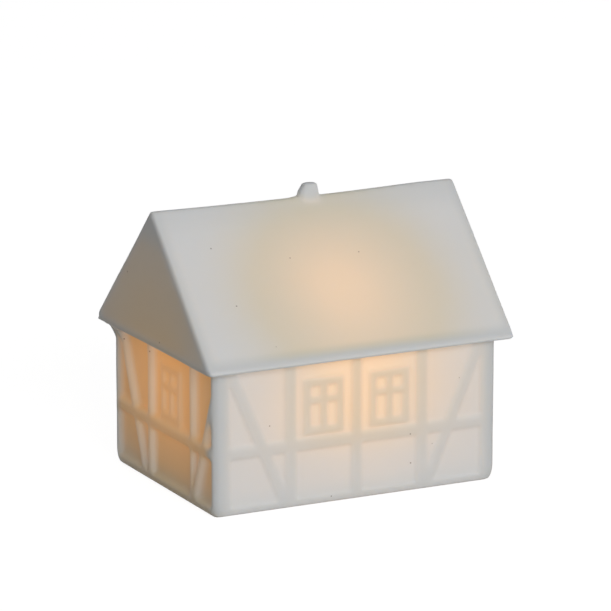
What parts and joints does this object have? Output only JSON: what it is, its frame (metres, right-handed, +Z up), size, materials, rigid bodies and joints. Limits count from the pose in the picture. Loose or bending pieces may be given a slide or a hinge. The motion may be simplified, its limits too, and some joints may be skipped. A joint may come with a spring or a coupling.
{
  "type": "tealight house",
  "caption": "Half-timbered porcelain house with a plain pitched roof, open below, set over a battery tealight so that its thin walls and roof glow.",
  "frame": {"origin": "on the table, under the middle of the house's bounding box", "axes": "+Z up, +X along the ridge to the right of the pictured front, -Y towards the pictured long front"},
  "size_m": [0.08, 0.0616, 0.0711],
  "materials": {
    "bisque_porcelain": "unglazed fired porcelain, matt and slightly translucent",
    "ivory_plastic": "moulded, fine satin",
    "flame_plastic": "frosted translucent, lit from inside",
    "led_epoxy": "clear cast epoxy, amber",
    "tinned_wire": "tinned",
    "nickel_steel": "nickel-plated, pressed",
    "gasket_plastic": "moulded",
    "black_plastic": "moulded, fine texture"
  },
  "bodies": {
    "tealight": {"tealight_cup": "ivory_plastic", "flame_diffuser": "flame_plastic", "led_lens": "led_epoxy", "led_anode_lead": "tinned_wire", "led_cathode_lead": "tinned_wire", "tealight_base": "ivory_plastic", "cell_can": "nickel_steel", "cell_gasket": "gasket_plastic", "cell_cap": "nickel_steel"},
    "house": {"house_shell": "bisque_porcelain"},
    "switch": {"switch_slider": "black_plastic"},
    "door": {"battery_door": "ivory_plastic"}
  },
  "joints": [
    {"name": "house_lift", "type": "slide", "parent": "tealight", "child": "house", "axis": [0, 0, 1], "range_m": [0, 0.06]},
    {"name": "switch_slide", "type": "slide", "parent": "tealight", "child": "switch", "axis": [0, 1, 0], "range_m": [0, 0.0025]},
    {"name": "door_turn", "type": "hinge", "parent": "tealight", "child": "door", "pos_m": [0, 0, 0], "axis": [0, 0, -1], "range_deg": [0, 45]}
  ]
}
